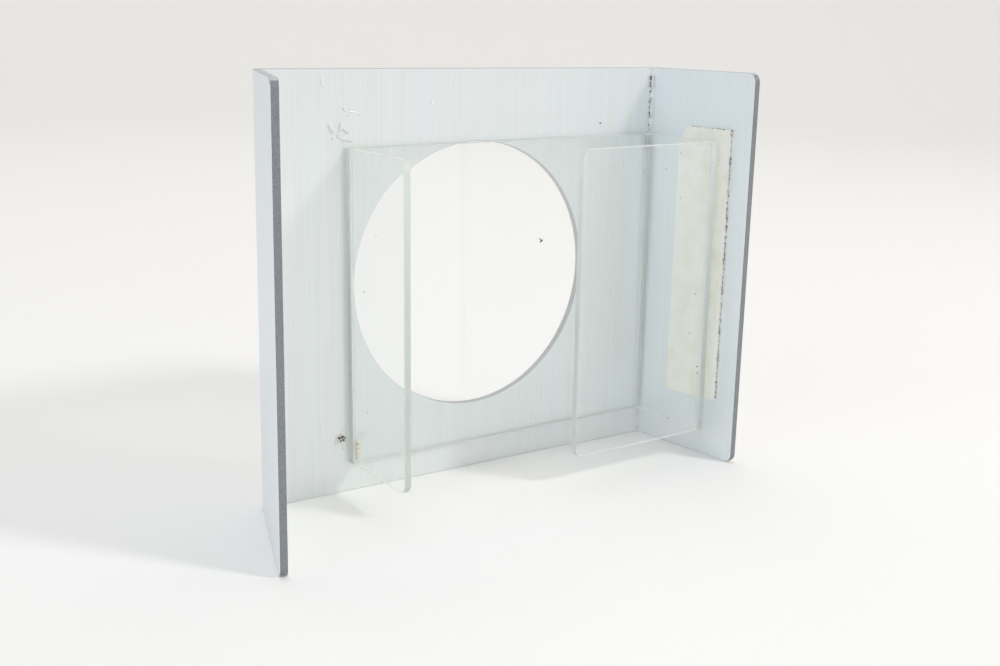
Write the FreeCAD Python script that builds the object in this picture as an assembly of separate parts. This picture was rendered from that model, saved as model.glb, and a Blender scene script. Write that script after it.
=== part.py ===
import FreeCAD, Part
import math
import os

# Negative carrier: a folded aluminium bracket with a round light aperture, and a clear acrylic
# tray between its two forward flanges, flat against the front of the web. Dabs of glue hold the
# tray on the left and foam tape holds it to the right flange.
# Frame: +Z up, +X to the right, the flanges reach forward along -Y. The origin is the middle of
# the web's lower edge, straight below the axis of the aperture. Millimetres.

# ---- bracket ----
sheet = 3.0                  # aluminium sheet thickness
webWidth = 196.0             # between the two inner corners
height = 175.5
apertureRadius = 57.5
rightFlange = 60.6           # inner corner to front edge
leftFlange = 71.0
rightSplay = 4.7             # degrees that each flange leans outward from square
leftSplay = 19.9
bendInside = 0.8             # inner radius of the folds
bendOutside = 3.4
flangeCorner = 4.0           # rounding of the flanges' front corners
edgeBreak = 0.2              # filed edge on the aluminium

# ---- acrylic tray ----
acrylic = 3.0                # acrylic sheet thickness
trayWidth = 158.0
trayHeight = 132.0
trayDepth = 47.4             # web to the front face of the lip
leftWallDepth = 45.5         # web to the front edge of the left wall
lipLength = 74.5             # from the tray's right side to the lip's free end
trayRight = 96.1             # outer face of the right wall, from the aperture's axis
trayFloor = 12.9             # lower edge above the bracket's lower edge
trayCorner = 4.0             # rounding of the free corners
trayTilt = 0.5               # degrees that the tray sits out of square, right side up
acrylicBreak = 0.25          # scraped edge on the acrylic

# ---- foam tape on the right flange ----
foam = 2.6                   # foam core thickness
adhesive = 0.2               # each of its two glue films
tapeStart = 21.6             # inner corner to the tape's rear edge, along the flange
tapeWidth = 27.8
tapeLow = 28.2
tapeHigh = 150.6
tapeClip = 4.5               # the rear top corner is snipped off, this far along the tape
tapeClipDrop = 6.5           # and this far down

# ---- dried glue ----
# Each dab: how far its middle lies left of the tray's side and above the tray's lower or upper
# edge, its half width and half height, and how far it stands off the web.
topDab = (2.4, 5.6, 5.6, 6.6, 1.4)
lowDab = (2.6, 10.4, 3.4, 5.2, 1.4)
leftDrip = (10.4, 25.5, 0.9, 1.8, 0.5)
middleDrip = (-39.9, 16.5, 1.0, 1.3, 0.5)
cornerBead = 2.2             # leg of the bead in the tray's inner corner
cornerBeadLow = 14.6
cornerBeadLength = 9.0

webFront = -sheet / 2
apertureZ = height / 2
trayLeft = trayRight - trayWidth
trayTop = trayFloor + trayHeight


def vec(x, y, z=0.0):
    return FreeCAD.Vector(x, y, z)


def pillar(points, low, high):
    """A prism that stands on a plan outline."""
    corners = [vec(x, y, low) for x, y in points]
    face = Part.Face(Part.makePolygon(corners + corners[:1]))
    return face.extrude(vec(0, 0, high - low))


def edges_where(shape, test):
    return [e for e in shape.Edges if test(e)]


def runs_along(edge, direction):
    if len(edge.Vertexes) != 2 or not isinstance(edge.Curve, Part.Line):
        return False
    run = edge.Vertexes[1].Point.sub(edge.Vertexes[0].Point)
    return abs(abs(run.dot(direction)) - run.Length * direction.Length) < 1e-6


def flange_axes(side):
    """The inner corner of a flange, its forward direction and its outward normal."""
    lean = math.radians(leftSplay if side < 0 else rightSplay)
    corner = vec(side * webWidth / 2, webFront)
    forward = vec(side * math.sin(lean), -math.cos(lean))
    outward = vec(side * math.cos(lean), math.sin(lean))
    return corner, forward, outward


def folded_outline(side):
    """One half of the plan outline: outer corner, front outer, front inner, inner corner."""
    corner, forward, outward = flange_axes(side)
    length = leftFlange if side < 0 else rightFlange
    mitre = (outward + vec(0, 1)) * (sheet / (1 + outward.y))
    tip = corner + forward * length
    return [corner + mitre, tip + outward * sheet, tip, corner]


def is_sharp(edge, solid):
    """True where the two faces beside an edge meet at an angle."""
    faces = solid.ancestorsOfType(edge, Part.Face)
    if len(faces) != 2:
        return False
    middle = edge.valueAt((edge.FirstParameter + edge.LastParameter) / 2)
    normals = [face.normalAt(*face.Surface.parameter(middle)) for face in faces]
    return abs(normals[0].dot(normals[1])) < 0.99


def break_edges(solid, size):
    return solid.makeChamfer(size, edges_where(solid, lambda e: is_sharp(e, solid)))


def round_free_corners(solid, centre, normal, radius):
    """Rounds the upper and lower corners of a plate's free end face."""
    def at_end(edge):
        middle = edge.CenterOfMass
        level = min(abs(middle.z - z) for z in (solid.BoundBox.ZMin, solid.BoundBox.ZMax))
        reach = math.hypot(middle.x - centre.x, middle.y - centre.y)
        return runs_along(edge, normal) and level < 0.01 and reach < 0.01
    return solid.makeFillet(radius, edges_where(solid, at_end))


def bracket():
    left, right = folded_outline(-1), folded_outline(1)
    outline = right + left[::-1]
    body = pillar([(p.x, p.y) for p in outline], 0, height)
    for corners, radius in (((left[3], right[3]), bendInside), ((left[0], right[0]), bendOutside)):
        folds = edges_where(body, lambda e: runs_along(e, vec(0, 0, 1)) and any(
            math.hypot(e.CenterOfMass.x - c.x, e.CenterOfMass.y - c.y) < 0.01 for c in corners))
        body = body.makeFillet(radius, folds)
    for side, half in ((-1, left), (1, right)):
        outward = flange_axes(side)[2]
        body = round_free_corners(body, (half[1] + half[2]) * 0.5, outward, flangeCorner)
    hole = Part.makeCylinder(apertureRadius, 4 * sheet, vec(0, -2 * sheet, apertureZ), vec(0, 1, 0))
    return break_edges(body.cut(hole), edgeBreak)


def tilted(plate):
    """Turns a tray plate about the aperture's axis, by the angle the tray sits out of square."""
    return plate.rotated(vec(0, 0, apertureZ), vec(0, 1, 0), -trayTilt)


def tray_plate(x0, x1, y0, y1, free_end=None):
    """An upright acrylic plate with scraped outer edges, its free end rounded if it has one."""
    points = [(x0, y0), (x1, y0), (x1, y1), (x0, y1)]
    plate = pillar(points, trayFloor, trayTop)
    if free_end:
        centre, normal = free_end
        plate = round_free_corners(plate, centre, normal, trayCorner)
    return break_edges(plate, acrylicBreak)


def back_panel():
    return tray_plate(trayLeft, trayRight, webFront - acrylic, webFront)


def left_wall():
    front = webFront - leftWallDepth
    end = vec(trayLeft + acrylic / 2, front)
    return tray_plate(trayLeft, trayLeft + acrylic, front, webFront - acrylic, (end, vec(1, 0)))


def right_wall():
    return tray_plate(trayRight - acrylic, trayRight, webFront - trayDepth, webFront - acrylic)


def front_lip():
    front = webFront - trayDepth
    free = trayRight - lipLength
    end = vec(free, front + acrylic / 2)
    return tray_plate(free, trayRight - acrylic, front, front + acrylic, (end, vec(0, 1)))


def tape_layer(inset, thickness):
    """One layer of the tape, lying on the right flange at a distance from its inner face."""
    corner, forward, outward = flange_axes(1)
    rear = corner + forward * tapeStart - outward * inset
    profile = [(0, tapeLow), (tapeWidth, tapeLow), (tapeWidth, tapeHigh),
               (tapeClip, tapeHigh), (0, tapeHigh - tapeClipDrop)]
    corners = [rear + forward * along + vec(0, 0, z) for along, z in profile]
    face = Part.Face(Part.makePolygon(corners + corners[:1]))
    return face.extrude(outward * -thickness)


def glue_dab(dab, level):
    """A low dome of dried glue on the front face of the web, stopped by the tray's panel."""
    left, up, half_width, half_height, stand = dab
    middle = vec(trayLeft - left, webFront, level + up)
    ball = Part.makeSphere(1.0, vec(0, 0, 0))
    stretch = FreeCAD.Matrix()
    stretch.scale(half_width, stand, half_height)
    dome = ball.transformGeometry(stretch)
    dome.translate(middle)
    reach = 2 * max(half_width, half_height)
    front_half = Part.makeBox(2 * reach, 2 * stand, 2 * reach,
                              middle - vec(reach, 2 * stand, reach))
    return dome.common(front_half).cut(tilted(back_panel()))


def top_glue():
    """Glue squeezed out round the tray's upper left corner."""
    return glue_dab(topDab, trayTop)


def bottom_glue():
    """Glue squeezed out beside the tray's lower left corner."""
    return glue_dab(lowDab, trayFloor)


def corner_glue():
    """A short three-sided bead low in the tray's inner left corner."""
    x = trayLeft + acrylic
    y = webFront - acrylic
    profile = [(x, y), (x + cornerBead, y), (x, y - cornerBead)]
    return pillar(profile, cornerBeadLow, cornerBeadLow + cornerBeadLength)


def glue_drips():
    """Two small stray drops on the web."""
    return Part.makeCompound([glue_dab(drip, trayTop) for drip in (leftDrip, middleDrip)])


pieces = {
    "bracket": bracket(),
    "back_panel": tilted(back_panel()),
    "left_wall": tilted(left_wall()),
    "right_wall": tilted(right_wall()),
    "front_lip": tilted(front_lip()),
    "flange_adhesive": tape_layer(0, adhesive),
    "foam_strip": tape_layer(adhesive, foam),
    "tray_adhesive": tape_layer(adhesive + foam, adhesive),
    "top_glue": top_glue(),
    "bottom_glue": bottom_glue(),
    "corner_glue": tilted(corner_glue()),
    "glue_drips": glue_drips(),
}

os.makedirs("parts", exist_ok=True)
for name, shape in pieces.items():
    shape.exportStep("parts/" + name + ".step")
    box = shape.BoundBox
    print(name, shape.isValid(), round(shape.Volume, 1), [round(v, 2) for v in (
        box.XMin, box.YMin, box.ZMin, box.XMax, box.YMax, box.ZMax)])
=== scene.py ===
import math
import random

import bmesh
import bpy
from mathutils import Matrix, Vector, noise


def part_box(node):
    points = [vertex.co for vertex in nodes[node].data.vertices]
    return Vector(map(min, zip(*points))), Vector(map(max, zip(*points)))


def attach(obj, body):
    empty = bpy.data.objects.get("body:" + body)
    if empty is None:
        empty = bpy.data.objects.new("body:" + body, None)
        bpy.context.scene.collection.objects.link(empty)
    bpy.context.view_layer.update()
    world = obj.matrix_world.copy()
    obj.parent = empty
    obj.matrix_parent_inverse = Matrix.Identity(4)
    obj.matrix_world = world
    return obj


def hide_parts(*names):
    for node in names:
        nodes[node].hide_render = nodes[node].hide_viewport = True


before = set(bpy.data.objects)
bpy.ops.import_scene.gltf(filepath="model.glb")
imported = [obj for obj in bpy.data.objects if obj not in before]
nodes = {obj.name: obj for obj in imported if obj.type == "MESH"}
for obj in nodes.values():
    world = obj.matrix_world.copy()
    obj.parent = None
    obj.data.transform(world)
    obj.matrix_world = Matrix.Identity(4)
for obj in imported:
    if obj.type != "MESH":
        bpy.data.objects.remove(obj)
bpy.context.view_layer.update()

noise.seed_set(5)  # the lumps of the glue and the tape's ragged edge are the same in every run
mm = 0.001
scene = bpy.context.scene
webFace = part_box("back_panel")[1][1]  # the tray's back panel lies flat on the web's front
webCorners = [v.co for v in nodes["bracket"].data.vertices if abs(v.co.y - webFace) < 0.01 * mm]
foldLeft = min(corner.x for corner in webCorners)
foldRight = max(corner.x for corner in webCorners)
print("stage: frame loaded")


def fromHex(code):
    # sRGB hex to the linear colour that the shaders want
    channels = [int(code[i:i + 2], 16) / 255 for i in (1, 3, 5)]
    return [c / 12.92 if c <= 0.04045 else ((c + 0.055) / 1.055) ** 2.4 for c in channels] + [1.0]


def addNode(tree, kind, settings=None, inputs=None):
    # an input is named or numbered, and holds a value, an output, or a node, which stands for its
    # first live output
    node = tree.nodes.new(kind)
    for name, value in (settings or {}).items():
        setattr(node, name, value)
    for name, value in (inputs or {}).items():
        if isinstance(value, bpy.types.Node):
            value = next(output for output in value.outputs if output.enabled)
        if isinstance(value, bpy.types.NodeSocket):
            tree.links.new(value, node.inputs[name])
        else:
            node.inputs[name].default_value = value
    return node


def newMaterial(name):
    # also gives the object's own coordinates, which every pattern is laid out in
    material = bpy.data.materials.new(name)
    material.use_nodes = True
    tree = material.node_tree
    tree.nodes.clear()
    return material, tree, addNode(tree, "ShaderNodeTexCoord").outputs["Object"]


def setSurface(tree, shader):
    addNode(tree, "ShaderNodeOutputMaterial", inputs={"Surface": shader})


# settings that recur: colours mixed by a share, and one colour multiplied by another
mixed = {"data_type": "RGBA"}
multiplied = {"data_type": "RGBA", "blend_type": "MULTIPLY"}
share, first, second = 0, 6, 7  # a colour mix's own inputs


def addObject(name, mesh):
    piece = bpy.data.objects.new(name, mesh)
    scene.collection.objects.link(piece)
    return piece


def aimMatrix(place, target):
    # a camera or lamp looks along its own -Z
    look = (Vector(target) - Vector(place)).to_track_quat("-Z", "Y")
    return Matrix.Translation(place) @ look.to_matrix().to_4x4()


# White card table that curves up all round; the object stands in its middle.
paper = {"colour": "#f7f6f4", "radius": 3.4, "bend": 1.4, "wall": 1.9, "turns": 128, "bendSteps": 16}


def makePaper():
    flat = paper["radius"] - paper["bend"]
    profile = [(flat * step / 4, 0.0) for step in range(1, 5)]
    for step in range(1, paper["bendSteps"] + 1):
        angle = math.pi / 2 * step / paper["bendSteps"]
        profile.append((flat + paper["bend"] * math.sin(angle), paper["bend"] * (1 - math.cos(angle))))
    profile.append((paper["radius"], paper["wall"]))
    bm = bmesh.new()
    middle = bm.verts.new((0, 0, 0))
    rings = []
    for radius, height in profile:
        rings.append([bm.verts.new((radius * math.cos(turn), radius * math.sin(turn), height))
                      for turn in (2 * math.pi * k / paper["turns"] for k in range(paper["turns"]))])
    for k in range(paper["turns"]):
        after = (k + 1) % paper["turns"]
        bm.faces.new((middle, rings[0][k], rings[0][after]))
        for inner, outer in zip(rings, rings[1:]):
            bm.faces.new((inner[k], outer[k], outer[after], inner[after]))
    mesh = bpy.data.meshes.new("whitePaper")
    bm.to_mesh(mesh)
    bm.free()
    mesh.shade_smooth()
    sweep = addObject("whitePaper", mesh)
    material, tree = newMaterial("mattePaper")[:2]
    setSurface(tree, addNode(tree, "ShaderNodeBsdfPrincipled", inputs={
        "Base Color": fromHex(paper["colour"]), "Roughness": 0.8, "Specular IOR Level": 0.2}))
    mesh.materials.append(material)


makePaper()

# It looks at a point on the front face of the web, a little low and right of the middle.
shot = {"lens": 46.21, "distance": 0.57335, "turn": 35.18, "down": 13.68, "roll": 1.27,
        "right": 0.01484, "up": 0.05946, "back": -0.0015}


def makeCamera():
    data = bpy.data.cameras.new("camera")
    data.lens = shot["lens"]
    data.sensor_width = 36
    camera = addObject("camera", data)
    turn, down = math.radians(shot["turn"]), math.radians(shot["down"])
    target = Vector((shot["right"], shot["back"], shot["up"]))
    away = Vector((-math.sin(turn) * math.cos(down), -math.cos(turn) * math.cos(down), math.sin(down)))
    roll = Matrix.Rotation(math.radians(shot["roll"]), 4, "Z")
    camera.matrix_world = aimMatrix(target + away * shot["distance"], target) @ roll
    scene.camera = camera


makeCamera()

# White surroundings, a small softbox high on the right in front, and cooler window light from the left.
softboxes = {
    "ceiling": {"at": (0.5, 0.9, 1.9), "aim": (0.7, 1.2, 0), "size": 2.2, "watts": 9.5, "colour": "#ffffff"},
    "key": {"at": (0.9, -1.39, 1.25), "aim": (0, 0, 0.08), "size": 0.3, "watts": 12.5, "colour": "#ffffff"},
    "window": {"at": (-1.9, -0.5, 0.8), "aim": (0, 0, 0.1), "size": 1.4, "watts": 9.0, "colour": "#bcd9ff"},
}
room = {"colour": "#fffdfa", "strength": 0.67}


def makeLight():
    for name, box in softboxes.items():
        data = bpy.data.lights.new(name, "AREA")
        data.shape = "SQUARE"
        data.size = box["size"]
        data.energy = box["watts"]
        data.color = fromHex(box["colour"])[:3]
        addObject(name, data).matrix_world = aimMatrix(box["at"], box["aim"])
    scene.world = bpy.data.worlds.new("room")
    scene.world.use_nodes = True
    background = scene.world.node_tree.nodes["Background"]
    background.inputs["Color"].default_value = fromHex(room["colour"])
    background.inputs["Strength"].default_value = room["strength"]


makeLight()
scene.view_settings.view_transform = "Standard"
# light that runs along inside the acrylic is followed to where it comes out
scene.cycles.max_bounces = 24
scene.cycles.glossy_bounces = 16
scene.cycles.transmission_bounces = 24
scene.cycles.blur_glossy = 0.0
print("stage: paper, camera and light set")


# Clear-anodised aluminium, linished vertically: a pale satin metal with fine upright lines that
# smear reflections sideways. Real linishing is finer than could show, so it is drawn coarser. The
# cut edges are sawn and darker. The flanges' front ends are darker still, and that extra darkness is
# painted shade. Dirt sits in the folds.
aluminium = {"green": "#e9efed", "lavender": "#ebeef1", "edge": "#c9cbcc", "edgeShade": "#b2b5b7",
             # end and endShade are the sawn edge colour darkened for the front ends: painted shade
             "end": "#96999c", "endShade": "#7d8084", "dirt": "#4a4038", "dirtShare": 0.55,
             "metallic": 0.5, "roughness": 0.4, "roughnessSwing": 0.16, "edgeRoughness": 0.5,
             "anisotropy": 0.55, "lineSpacing": 0.4 * mm, "bandSpacing": 2.2 * mm, "lineLength": 80 * mm,
             "lineDepth": 0.006 * mm, "sawSpacing": 0.35 * mm, "foldWidth": 1.4 * mm,
             "dirtGrain": 0.7 * mm, "flangeStart": -12 * mm, "boreReach": 58.5 * mm,
             "edgeLooksUp": 0.35, "endLooksAhead": -0.6, "boreLooksAhead": 0.9}


def makeAluminium():
    a = aluminium
    material, tree, position = newMaterial("brushedAnodisedAluminium")
    where = addNode(tree, "ShaderNodeSeparateXYZ", inputs={0: position}).outputs
    facing = addNode(tree, "ShaderNodeNewGeometry").outputs["Normal"]
    normal = addNode(tree, "ShaderNodeSeparateXYZ", inputs={0: facing}).outputs

    # upright lines, the broader bands they gather into, and the grain of the dirt
    patterns = {}
    for name, across, along, detail, roughness in (
            ("lines", a["lineSpacing"], a["lineLength"], 3.0, 0.65),
            ("bands", a["bandSpacing"], a["lineLength"] * 3, 2.0, 0.5),
            ("grime", a["dirtGrain"], a["dirtGrain"] * 3, 4.0, 0.5)):
        stretched = addNode(tree, "ShaderNodeVectorMath", {"operation": "MULTIPLY"}, {
            0: position, 1: (1 / across, 1 / across, 1 / along)})
        patterns[name] = addNode(tree, "ShaderNodeTexNoise", inputs={
            "Vector": stretched, "Scale": 1.0, "Detail": detail, "Roughness": roughness}).outputs[0]
    bandShare = addNode(tree, "ShaderNodeMapRange", inputs={
        "Value": patterns["bands"], "From Min": 0.36, "From Max": 0.64})
    lineShade = addNode(tree, "ShaderNodeMapRange", inputs={
        "Value": patterns["lines"], "From Min": 0.32, "From Max": 0.7, "To Min": 0.95, "To Max": 1.03})
    face = addNode(tree, "ShaderNodeMix", mixed, {
        share: bandShare, first: fromHex(a["green"]), second: fromHex(a["lavender"])})
    face = addNode(tree, "ShaderNodeMix", multiplied, {share: 1.0, first: face, second: lineShade})

    # dirt packed into the two folds, where the flanges leave the web
    inFold = 0.0
    for fold in (foldLeft, foldRight):
        sideways = addNode(tree, "ShaderNodeMath", {"operation": "SUBTRACT"}, {0: where["X"], 1: fold})
        forward = addNode(tree, "ShaderNodeMath", {"operation": "SUBTRACT"}, {0: where["Y"], 1: webFace})
        reach = addNode(tree, "ShaderNodeMath", {"operation": "ADD"}, {
            0: addNode(tree, "ShaderNodeMath", {"operation": "ABSOLUTE"}, {0: sideways}),
            1: addNode(tree, "ShaderNodeMath", {"operation": "ABSOLUTE"}, {0: forward})})
        near = addNode(tree, "ShaderNodeMapRange", inputs={
            "Value": reach, "From Min": a["foldWidth"], "From Max": 0.0})
        inFold = addNode(tree, "ShaderNodeMath", {"operation": "MAXIMUM"}, {0: inFold, 1: near})
    clumps = addNode(tree, "ShaderNodeMapRange", inputs={
        "Value": patterns["grime"], "From Min": 0.52, "From Max": 0.66, "To Max": a["dirtShare"]})
    dirty = addNode(tree, "ShaderNodeMath", {"operation": "MULTIPLY"}, {0: inFold, 1: clumps})
    face = addNode(tree, "ShaderNodeMix", mixed, {share: dirty, first: face, second: fromHex(a["dirt"])})

    # sawn edges all round and in the aperture's bore; the flanges' front ends, which look ahead, get a
    # darker copy of the sawn colour, which is painted shade
    upright = addNode(tree, "ShaderNodeMath", {"operation": "ABSOLUTE"}, {0: normal["Z"]})
    level = addNode(tree, "ShaderNodeMath", {"operation": "GREATER_THAN"}, {
        0: upright, 1: a["edgeLooksUp"]})
    onFlange = addNode(tree, "ShaderNodeMath", {"operation": "LESS_THAN"}, {
        0: where["Y"], 1: a["flangeStart"]})
    looksAhead = addNode(tree, "ShaderNodeMath", {"operation": "LESS_THAN"}, {
        0: normal["Y"], 1: a["endLooksAhead"]})
    frontEnd = addNode(tree, "ShaderNodeMath", {"operation": "MULTIPLY"}, {0: looksAhead, 1: onFlange})
    low, high = (corner[2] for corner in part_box("bracket"))
    onWeb = addNode(tree, "ShaderNodeCombineXYZ", inputs={"X": where["X"], "Z": where["Z"]})
    fromAxis = addNode(tree, "ShaderNodeVectorMath", {"operation": "DISTANCE"}, {
        0: onWeb, 1: (0, 0, (low + high) / 2)}).outputs["Value"]
    within = addNode(tree, "ShaderNodeMath", {"operation": "LESS_THAN"}, {0: fromAxis, 1: a["boreReach"]})
    ahead = addNode(tree, "ShaderNodeMath", {"operation": "ABSOLUTE"}, {0: normal["Y"]})
    sidelong = addNode(tree, "ShaderNodeMath", {"operation": "LESS_THAN"}, {
        0: ahead, 1: a["boreLooksAhead"]})
    bore = addNode(tree, "ShaderNodeMath", {"operation": "MULTIPLY"}, {0: within, 1: sidelong})
    edge = level
    for part in (frontEnd, bore):
        edge = addNode(tree, "ShaderNodeMath", {"operation": "MAXIMUM"}, {0: edge, 1: part})
    saw = addNode(tree, "ShaderNodeTexNoise", inputs={
        "Vector": position, "Scale": 1 / a["sawSpacing"], "Detail": 4.0})
    teeth = addNode(tree, "ShaderNodeMapRange", inputs={"Value": saw, "From Min": 0.4, "From Max": 0.62})
    sawnEdge = addNode(tree, "ShaderNodeMix", mixed, {
        share: teeth, first: fromHex(a["edge"]), second: fromHex(a["edgeShade"])})
    # painted shade: the same sawn metal in a darker colour where the flanges' ends look ahead
    sawnEndPaintedShade = addNode(tree, "ShaderNodeMix", mixed, {
        share: teeth, first: fromHex(a["end"]), second: fromHex(a["endShade"])})
    sawn = addNode(tree, "ShaderNodeMix", mixed, {share: frontEnd, first: sawnEdge, second: sawnEndPaintedShade})
    colour = addNode(tree, "ShaderNodeMix", mixed, {share: edge, first: face, second: sawn})

    half = a["roughnessSwing"] / 2
    lineRoughness = addNode(tree, "ShaderNodeMapRange", {"clamp": False}, {
        "Value": patterns["lines"], "To Min": a["roughness"] - half, "To Max": a["roughness"] + half})
    roughness = addNode(tree, "ShaderNodeMix", inputs={0: edge, 2: lineRoughness, 3: a["edgeRoughness"]})
    bump = addNode(tree, "ShaderNodeBump", inputs={
        "Height": patterns["lines"], "Distance": a["lineDepth"], "Strength": 1.0})
    tangent = addNode(tree, "ShaderNodeTangent", {"direction_type": "RADIAL", "axis": "Z"})
    setSurface(tree, addNode(tree, "ShaderNodeBsdfPrincipled", inputs={
        "Base Color": colour, "Metallic": a["metallic"], "Roughness": roughness,
        "Anisotropic": a["anisotropy"], "Normal": bump, "Tangent": tangent}))
    return material


nodes["bracket"].data.materials.clear()
nodes["bracket"].data.materials.append(makeAluminium())
print("stage: aluminium ready")


def copyOfNode(node, gap):
    # a CAD piece's own shape, drawn in by a hair so that touching faces don't coincide
    bm = bmesh.new()
    bm.from_mesh(nodes[node].data)
    bmesh.ops.remove_doubles(bm, verts=bm.verts, dist=0.001 * mm)
    bmesh.ops.dissolve_limit(bm, angle_limit=math.radians(1), verts=bm.verts, edges=bm.edges)
    bmesh.ops.recalc_face_normals(bm, faces=bm.faces)
    bm.normal_update()
    outward = [sum((face.normal for face in vert.link_faces), Vector()).normalized() for vert in bm.verts]
    for vert, away in zip(bm.verts, outward):
        vert.co -= away * gap
    return bm


def finishPiece(name, bm, materials, replaced, sharp=25):
    mesh = bpy.data.meshes.new(name)
    bm.normal_update()
    bm.to_mesh(mesh)
    bm.free()
    mesh.shade_smooth()
    mesh.set_sharp_from_angle(angle=math.radians(sharp))
    for material in materials:
        mesh.materials.append(material)
    piece = addObject(name, mesh)
    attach(piece, "root")
    if replaced:
        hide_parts(replaced)
    return piece


# Clear cast acrylic, sawn to size: faces as bright as glass with a faint bloom of handling, and
# frosted edges that carry light from inside the sheet.
acrylic = {"face": "#feffff", "edge": "#f4f7f4", "ior": 1.49, "faceTransmission": 0.985,
           "faceRoughness": 0.012, "glowLow": 0.9, "glowHigh": 0.5, "edgeRoughness": 0.8, "edgeSwing": 0.16,
           "gap": 0.02 * mm, "smudge": 14 * mm, "sawSpacing": 0.5 * mm, "sawDepth": 0.02 * mm,
           "squareOn": 0.95}


def makeAcrylicFace():
    a = acrylic
    material, tree, position = newMaterial("clearCastAcrylic")
    smudges = addNode(tree, "ShaderNodeTexNoise", inputs={
        "Vector": position, "Scale": 1 / a["smudge"], "Detail": 5.0})
    bloom = addNode(tree, "ShaderNodeMapRange", inputs={
        "Value": smudges, "From Min": 0.45, "From Max": 0.8, "To Max": a["faceRoughness"]})
    setSurface(tree, addNode(tree, "ShaderNodeBsdfPrincipled", inputs={
        "Base Color": fromHex(a["face"]), "Roughness": bloom, "IOR": a["ior"],
        "Transmission Weight": a["faceTransmission"]}))
    return material


def makeAcrylicEdge():
    a = acrylic
    material, tree, position = newMaterial("sawnAcrylicEdge")
    saw = addNode(tree, "ShaderNodeTexNoise", inputs={
        "Vector": position, "Scale": 1 / a["sawSpacing"], "Detail": 3.0})
    bump = addNode(tree, "ShaderNodeBump", inputs={
        "Height": saw, "Distance": a["sawDepth"], "Strength": 0.5})
    half = a["edgeSwing"] / 2
    roughness = addNode(tree, "ShaderNodeMapRange", inputs={
        "Value": saw, "From Min": 0.3, "From Max": 0.7, "To Min": a["edgeRoughness"] - half,
        "To Max": a["edgeRoughness"] + half})
    frosted = addNode(tree, "ShaderNodeBsdfPrincipled", inputs={
        "Base Color": fromHex(a["edge"]), "Roughness": roughness, "IOR": a["ior"],
        "Specular IOR Level": 0.0, "Normal": bump})
    # light from the far side of a frosted edge comes through it scattered, most of all low down,
    # where the white table shines up into the sheet
    glow = addNode(tree, "ShaderNodeBsdfTranslucent", inputs={"Color": fromHex(a["edge"])})
    height = addNode(tree, "ShaderNodeSeparateXYZ", inputs={0: position}).outputs["Z"]
    low, high = (corner[2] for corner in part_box("back_panel"))
    glowShare = addNode(tree, "ShaderNodeMapRange", inputs={
        "Value": height, "From Min": low, "From Max": high, "To Min": a["glowLow"], "To Max": a["glowHigh"]})
    setSurface(tree, addNode(tree, "ShaderNodeMixShader", inputs={0: glowShare, 1: frosted, 2: glow}))
    return material


def makePlate(name, node, across, welded=None):
    # across is the plate's thin direction, and every face that doesn't look that way is a sawn edge;
    # the edge that is solvent-welded to its neighbour has no surface of its own
    bm = copyOfNode(node, acrylic["gap"])
    if welded:
        joint = [face for face in bm.faces if face.normal.dot(Vector(welded)) > acrylic["squareOn"]]
        bmesh.ops.delete(bm, geom=joint, context="FACES")
    for face in bm.faces:
        face.material_index = 0 if abs(face.normal.dot(Vector(across))) > acrylic["squareOn"] else 1
    return finishPiece(name, bm, (acrylicFace, acrylicEdge), node)


acrylicFace = makeAcrylicFace()
acrylicEdge = makeAcrylicEdge()
makePlate("backPanel", "back_panel", (0, 1, 0))
makePlate("leftWall", "left_wall", (1, 0, 0), (0, 1, 0))
makePlate("rightWall", "right_wall", (1, 0, 0), (0, 1, 0))
makePlate("frontLip", "front_lip", (0, 1, 0), (1, 0, 0))
print("stage: acrylic tray made")

# Cream polyethylene foam with a fine closed-cell grain, and its two tacky films, which have
# yellowed and hold dust. Its cells are too fine to make out, so they are drawn coarse.
tape = {"foam": "#fdfcf4", "foamShade": "#f7f5e8", "film": "#f9f7ea", "filmShade": "#f1efdd",
        "oldFilm": "#cfc9b0", "dust": "#3a2f26", "cell": 0.35 * mm, "cellDepth": 0.05 * mm,
        "stain": 9 * mm, "dustSpacing": 2.4 * mm, "dustSize": 0.1, "grid": 1.3 * mm,
        "ragged": 0.16 * mm, "waves": 2.2 * mm, "nicks": 0.8 * mm, "nickShare": 0.6,
        "wetting": 0.04 * mm, "ior": 1.45, "depth": (0.004, 0.004, 0.003)}


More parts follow.
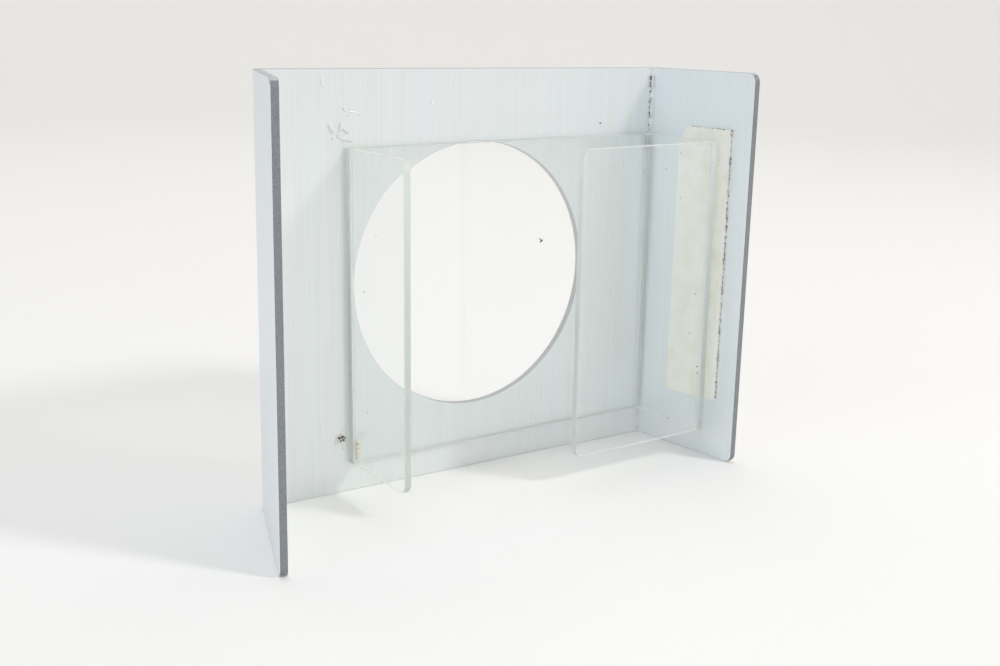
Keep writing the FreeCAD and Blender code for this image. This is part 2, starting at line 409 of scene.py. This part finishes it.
def makeTapeMaterial(name, pale, shade, roughness, dustShare):
    t = tape
    material, tree, position = newMaterial(name)
    cells = addNode(tree, "ShaderNodeTexVoronoi", inputs={
        "Vector": position, "Scale": 1 / t["cell"]}).outputs["Distance"]
    stains = addNode(tree, "ShaderNodeTexNoise", inputs={
        "Vector": position, "Scale": 1 / t["stain"], "Detail": 4.0})
    stained = addNode(tree, "ShaderNodeMapRange", inputs={
        "Value": stains, "From Min": 0.42, "From Max": 0.7})
    colour = addNode(tree, "ShaderNodeMix", mixed, {
        share: stained, first: fromHex(pale), second: fromHex(shade)})
    cellShade = addNode(tree, "ShaderNodeMapRange", inputs={
        "Value": cells, "From Max": 0.8, "To Min": 1.03, "To Max": 0.93})
    colour = addNode(tree, "ShaderNodeMix", multiplied, {share: 1.0, first: colour, second: cellShade})
    # some of a coarse pattern's cells hold a speck of dust at the middle
    spots = addNode(tree, "ShaderNodeTexVoronoi", inputs={
        "Vector": position, "Scale": 1 / t["dustSpacing"]}).outputs
    lot = addNode(tree, "ShaderNodeSeparateXYZ", inputs={0: spots["Color"]}).outputs["X"]
    chosen = addNode(tree, "ShaderNodeMath", {"operation": "LESS_THAN"}, {0: lot, 1: dustShare})
    speck = addNode(tree, "ShaderNodeMapRange", inputs={
        "Value": spots["Distance"], "From Min": t["dustSize"], "From Max": 0.0})
    dusty = addNode(tree, "ShaderNodeMath", {"operation": "MULTIPLY"}, {0: chosen, 1: speck})
    dustEdge = addNode(tree, "ShaderNodeMapRange", inputs={
        "Value": dusty, "From Min": 0.2, "From Max": 0.6})
    colour = addNode(tree, "ShaderNodeMix", mixed, {
        share: dustEdge, first: colour, second: fromHex(t["dust"])})
    bump = addNode(tree, "ShaderNodeBump", inputs={
        "Height": cells, "Distance": t["cellDepth"], "Strength": 0.7})
    setSurface(tree, addNode(tree, "ShaderNodeBsdfPrincipled", inputs={
        "Base Color": colour, "Roughness": roughness, "IOR": t["ior"], "Subsurface Weight": 0.15,
        "Subsurface Radius": t["depth"], "Subsurface Scale": 0.2, "Normal": bump}))
    return material


def tapeAxes():
    # along the flange towards its front edge, and straight off the flange into the tray
    corners = sorted((v.co for v in nodes["foam_strip"].data.vertices), key=lambda c: c.z)
    foot = [c for c in corners if c.z - corners[0].z < 0.1 * mm]
    rear = max(foot, key=lambda c: c.y + c.x)
    front = max(foot, key=lambda c: c.x - c.y)
    along = Vector((front.x - rear.x, front.y - rear.y, 0)).normalized()
    return rear, front, along, Vector((along.y, -along.x, 0))


def makeTapeLayer(name, node, material, gap):
    bm = copyOfNode(node, gap)
    along, off = tapeAxes()[2:]
    for direction in (along, Vector((0, 0, 1)), off):
        reach = [vert.co.dot(direction) for vert in bm.verts]
        step = tape["grid"] if direction is not off else tape["grid"] / 2
        cut = min(reach) + step
        while cut < max(reach) - step / 2:
            bmesh.ops.bisect_plane(bm, geom=bm.verts[:] + bm.edges[:] + bm.faces[:], dist=0.001 * mm,
                                   plane_co=direction * cut, plane_no=direction)
            cut += step
    for vert in bm.verts:
        pull = noise.noise_vector(vert.co / tape["waves"])
        pull += tape["nickShare"] * noise.noise_vector(vert.co / tape["nicks"])
        atEdge = any(abs(face.normal.dot(off)) < 0.5 for face in vert.link_faces)
        if atEdge:
            vert.co += (pull - off * pull.dot(off)) * tape["ragged"]
    return finishPiece(name, bm, (material,), node, sharp=40)


foamMaterial = makeTapeMaterial("closedCellFoam", tape["foam"], tape["foamShade"], 0.85, 0.1)
trayFilmMaterial = makeTapeMaterial("tackyTapeFilm", tape["film"], tape["filmShade"], 0.35, 0.35)
flangeFilmMaterial = makeTapeMaterial("dirtyTapeFilm", tape["oldFilm"], tape["filmShade"], 0.4, 0.6)
foamStrip = makeTapeLayer("foamStrip", "foam_strip", foamMaterial, acrylic["gap"])
makeTapeLayer("flangeFilm", "flange_adhesive", flangeFilmMaterial, acrylic["gap"])
# the film wets the acrylic, so the foam shows through the wall with no air between
makeTapeLayer("trayFilm", "tray_adhesive", trayFilmMaterial, -tape["wetting"])
print("stage: foam tape made")

# Clear cement that has set into glossy runs and blobs; the old glue low in the corner has gone
# yellow brown. Each lobe is x and z of its middle on the web, half width, half height, how far it
# stands off, all in millimetres, and how far it leans to the right in degrees.
cement = {"clear": "#ffffff", "amber": "#d9c594", "amberPale": "#faf5e6", "ior": 1.47, "grain": 1.5 * mm,
          "voxel": 0.22 * mm, "wobble": 0.25 * mm, "lump": 1.6 * mm}
topLobes = ((-68.6, 152.3, 0.9, 2.4, 1.1, -30),
            (-67.6, 148.4, 1.0, 0.8, 0.8, 0),
            (-64.5, 152.8, 0.8, 2.4, 1.1, 8),
            (-62.2, 151.4, 0.8, 2.2, 1.1, -48),
            (-63.2, 148.0, 1.8, 0.9, 1.0, 0),
            (-60.2, 147.4, 1.5, 0.8, 0.9, 0),
            (-65.4, 149.6, 0.9, 1.4, 0.6, 20))
highLobes = ((-62.6, 159.8, 0.8, 0.9, 0.8, 0),
             (-59.4, 158.7, 1.3, 0.7, 0.45, -12),
             (-56.3, 157.6, 1.2, 0.5, 0.4, 10),
             (-61.2, 157.2, 1.1, 0.5, 0.45, 30))
lowLobes = ((-65.6, 23.6, 2.8, 2.2, 0.7, 0),
            (-63.6, 20.4, 1.5, 2.6, 0.9, 0),
            (-67.3, 22.2, 1.6, 1.2, 0.4, 20),
            (-64.2, 26.2, 1.3, 1.8, 0.5, 0))
leftDripLobes = ((-72.3, 170.6, 0.8, 1.7, 0.45, 6),
                 (-72.1, 168.9, 0.55, 0.8, 0.35, 0))
middleDripLobes = ((-22.0, 161.4, 0.9, 1.1, 0.45, 0),)


def makeCement(name, pale, deep, transmission, roughness):
    material, tree, position = newMaterial(name)
    cloud = addNode(tree, "ShaderNodeTexNoise", inputs={
        "Vector": position, "Scale": 1 / cement["grain"], "Detail": 3.0})
    yellowed = addNode(tree, "ShaderNodeMapRange", inputs={
        "Value": cloud, "From Min": 0.4, "From Max": 0.65})
    gloss = addNode(tree, "ShaderNodeMapRange", inputs={
        "Value": cloud, "From Min": 0.3, "From Max": 0.7, "To Min": roughness * 0.6,
        "To Max": roughness * 1.4})
    colour = addNode(tree, "ShaderNodeMix", mixed, {
        share: yellowed, first: fromHex(pale), second: fromHex(deep)})
    setSurface(tree, addNode(tree, "ShaderNodeBsdfPrincipled", inputs={
        "Base Color": colour, "Roughness": gloss, "IOR": cement["ior"],
        "Transmission Weight": transmission}))
    return material


def addLobe(bm, lobe, face):
    x, z, halfWidth, halfHeight, stand, lean = lobe
    shape = (Matrix.Translation((x * mm, face, z * mm)) @ Matrix.Rotation(math.radians(lean), 4, "Y")
             @ Matrix.Diagonal((halfWidth * mm, stand * mm, halfHeight * mm, 1)))
    bmesh.ops.create_icosphere(bm, subdivisions=3, radius=1.0, matrix=shape)


def fuse(bm, voxel):
    # melts overlapping lobes into one skin
    rough = bpy.data.meshes.new("lobes")
    bm.to_mesh(rough)
    bm.free()
    holder = addObject("lobes", rough)
    remesh = holder.modifiers.new("remesh", "REMESH")
    remesh.mode = "VOXEL"
    remesh.voxel_size = voxel
    smooth = holder.modifiers.new("smooth", "SMOOTH")
    smooth.iterations = 3
    done = bpy.data.meshes.new_from_object(holder.evaluated_get(bpy.context.evaluated_depsgraph_get()))
    bpy.data.objects.remove(holder)
    bpy.data.meshes.remove(rough)
    fused = bmesh.new()
    fused.from_mesh(done)
    bpy.data.meshes.remove(done)
    return fused


def makeGlue(name, lobes, face, material, replaced=None):
    bm = bmesh.new()
    for lobe in lobes:
        addLobe(bm, lobe, face)
    bm = fuse(bm, cement["voxel"])
    for vert in bm.verts:
        vert.co += noise.noise_vector(vert.co / cement["lump"]) * cement["wobble"]
    cut = Vector((0, face - acrylic["gap"], 0))
    found = bmesh.ops.bisect_plane(bm, geom=bm.verts[:] + bm.edges[:] + bm.faces[:], dist=0.001 * mm,
                                   plane_co=cut, plane_no=(0, 1, 0), clear_outer=True)
    rim = [part for part in found["geom_cut"] if isinstance(part, bmesh.types.BMEdge)]
    bmesh.ops.edgeloop_fill(bm, edges=rim)
    bmesh.ops.recalc_face_normals(bm, faces=bm.faces)
    return finishPiece(name, bm, (material,), replaced, sharp=60)


clearCement = makeCement("glossyClearCement", cement["clear"], cement["clear"], 0.28, 0.1)
amberCement = makeCement("yellowedCement", cement["amberPale"], cement["amber"], 0.35, 0.25)
makeGlue("topGlue", topLobes, webFace, clearCement, "top_glue")
makeGlue("highGlue", highLobes, webFace, clearCement)
makeGlue("lowGlue", lowLobes, webFace, clearCement, "bottom_glue")
makeGlue("leftDrip", leftDripLobes, webFace, clearCement, "glue_drips")
makeGlue("middleDrip", middleDripLobes, webFace, clearCement)


# the old glue in the corner runs up in lumps of these radii
bead = {"lumps": 9, "smallest": 0.55 * mm, "largest": 1.15 * mm, "offWall": 0.75, "offPanel": 0.6,
        "grain": 1.1 * mm, "seed": 5}


def makeCornerBead():
    (left, _, low), (_, back, high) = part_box("corner_glue")
    random.seed(bead["seed"])
    bm = bmesh.new()
    for step in range(bead["lumps"]):
        size = random.uniform(bead["smallest"], bead["largest"])
        rise = (high - low - 2 * size) * step / (bead["lumps"] - 1)
        place = Vector((left + size * bead["offWall"], back - size * bead["offPanel"], low + size + rise))
        bmesh.ops.create_icosphere(bm, subdivisions=2, radius=size, matrix=Matrix.Translation(place))
    bm = fuse(bm, cement["voxel"])
    for vert in bm.verts:
        vert.co += noise.noise_vector(vert.co / bead["grain"]) * cement["wobble"]
        vert.co.x = max(vert.co.x, left + 2 * acrylic["gap"])
        vert.co.y = min(vert.co.y, back - 2 * acrylic["gap"])
    return finishPiece("cornerGlue", bm, (amberCement,), "corner_glue", sharp=60)


makeCornerBead()
print("stage: glue made")

# Crumbs of dark dirt caught in the fold, on the tape's sticky edge and here and there on the faces.
grit = {"dark": "#241e1a", "brown": "#5a4636", "grain": 0.3 * mm, "inFold": 70, "onTapeEdge": 170,
        "onTapeTop": 26, "onPanel": 46, "foldSize": (0.07, 0.24), "tapeEdgeSize": (0.07, 0.22),
        "tapeTopSize": (0.1, 0.25), "panelSize": (0.07, 0.2), "tapeTopReach": (5.5, 27.0),
        "panelReach": (1.0, 26.0), "flatness": 0.7, "lumpiness": 0.45, "seed": 12}
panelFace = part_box("back_panel")[0][1]
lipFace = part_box("front_lip")[0][1]
clumpFace = webFace - 0.8 * mm  # on top of the low glue
# x, the face it sits on, z, half length and half width, in millimetres but for the face, and its
# lean in degrees
singleCrumbs = ((34.0, panelFace, 100.0, 1.0, 0.35, -35),
                (33.4, panelFace, 100.9, 0.45, 0.3, 10),
                (67.6, webFace, 150.9, 0.4, 0.35, 0),
                (-54.0, panelFace, 86.0, 0.3, 0.25, 0),
                (-66.6, webFace - 0.7 * mm, 24.3, 0.7, 0.45, 20),
                (-65.2, clumpFace, 24.6, 0.8, 0.4, -30),
                (-64.6, clumpFace, 23.2, 0.6, 0.4, 60),
                (-65.9, clumpFace, 23.0, 0.5, 0.35, 0),
                (-63.9, clumpFace, 24.1, 0.4, 0.3, 0),
                (-57.0, panelFace, 21.3, 0.9, 0.3, 50),
                (-52.7, panelFace, 34.1, 0.25, 0.2, 0),
                (-48.5, panelFace, 108.4, 0.25, 0.2, 0),
                (87.2, lipFace, 78.6, 0.3, 0.25, 0),
                (85.2, lipFace, 61.0, 0.35, 0.25, 0),
                (91.0, lipFace, 44.6, 0.4, 0.3, 0),
                (91.4, lipFace, 41.6, 0.3, 0.25, 30),
                (73.8, lipFace, 141.6, 0.3, 0.2, 0),
                (75.3, lipFace, 122.2, 0.3, 0.2, 0),
                (66.3, lipFace, 135.2, 0.25, 0.2, 0),
                (75.0, lipFace, 22.8, 0.3, 0.2, 60))


def addCrumb(bm, place, halfLong, halfWide, lean):
    size = Matrix.Diagonal((halfLong, halfWide * grit["flatness"], halfWide, 1))
    shape = Matrix.Translation(place) @ Matrix.Rotation(math.radians(lean), 4, "Y") @ size
    made = bmesh.ops.create_icosphere(bm, subdivisions=2, radius=1.0, matrix=shape)
    for vert in made["verts"]:
        vert.co += noise.noise_vector(vert.co / grit["grain"]) * halfWide * grit["lumpiness"]


def makeGrit():
    random.seed(grit["seed"])
    bm = bmesh.new()
    for x, y, z, halfLong, halfWide, lean in singleCrumbs:
        addCrumb(bm, Vector((x * mm, y - 0.15 * mm, z * mm)), halfLong * mm, halfWide * mm, lean)
    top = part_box("bracket")[1][2]
    for _ in range(grit["inFold"]):
        # thickest near the top of the fold
        height = top * (1 - random.random() ** 1.8 * 0.97) - 4 * mm
        size = random.uniform(*grit["foldSize"]) * mm * (1.3 if height > 0.75 * top else 0.8)
        place = Vector((foldRight - random.uniform(0.2, 1.0) * mm,
                        webFace - random.uniform(0.15, 0.7) * mm, height))
        addCrumb(bm, place, size * random.uniform(1.0, 1.8), size, random.uniform(40, 140))
    rear, front, along, off = tapeAxes()
    low, high = (corner[2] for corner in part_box("foam_strip"))
    for _ in range(grit["onTapeEdge"]):
        size = random.uniform(*grit["tapeEdgeSize"]) * mm
        place = Vector((front.x, front.y, random.uniform(low, high))) + along * random.uniform(0.0, 0.6) * mm
        place += off * random.uniform(-0.1, 0.5) * mm
        addCrumb(bm, place, size * random.uniform(1.0, 2.0), size, random.uniform(50, 130))
    for _ in range(grit["onTapeTop"]):
        size = random.uniform(*grit["tapeTopSize"]) * mm
        place = Vector((rear.x, rear.y, high)) + along * random.uniform(*grit["tapeTopReach"]) * mm
        place += off * random.uniform(0.0, 2.4) * mm
        addCrumb(bm, place, size * 1.4, size, 0)
    # a sprinkling of specks on the panel beside the right fold, behind the lip
    for _ in range(grit["onPanel"]):
        size = random.uniform(*grit["panelSize"]) * mm
        aside = random.uniform(*grit["panelReach"]) * mm
        place = Vector((foldRight - aside, panelFace, random.uniform(low, high)))
        addCrumb(bm, place, size * random.uniform(1.0, 1.6), size, random.uniform(0, 180))
    material, tree, position = newMaterial("darkGrit")
    speckle = addNode(tree, "ShaderNodeTexNoise", inputs={
        "Vector": position, "Scale": 1 / grit["grain"]})
    browned = addNode(tree, "ShaderNodeMapRange", inputs={
        "Value": speckle, "From Min": 0.4, "From Max": 0.65})
    colour = addNode(tree, "ShaderNodeMix", mixed, {
        share: browned, first: fromHex(grit["dark"]), second: fromHex(grit["brown"])})
    setSurface(tree, addNode(tree, "ShaderNodeBsdfPrincipled", inputs={
        "Base Color": colour, "Roughness": 0.8}))
    return finishPiece("grit", bm, (material,), None, sharp=50)


makeGrit()
print("stage: grit made")
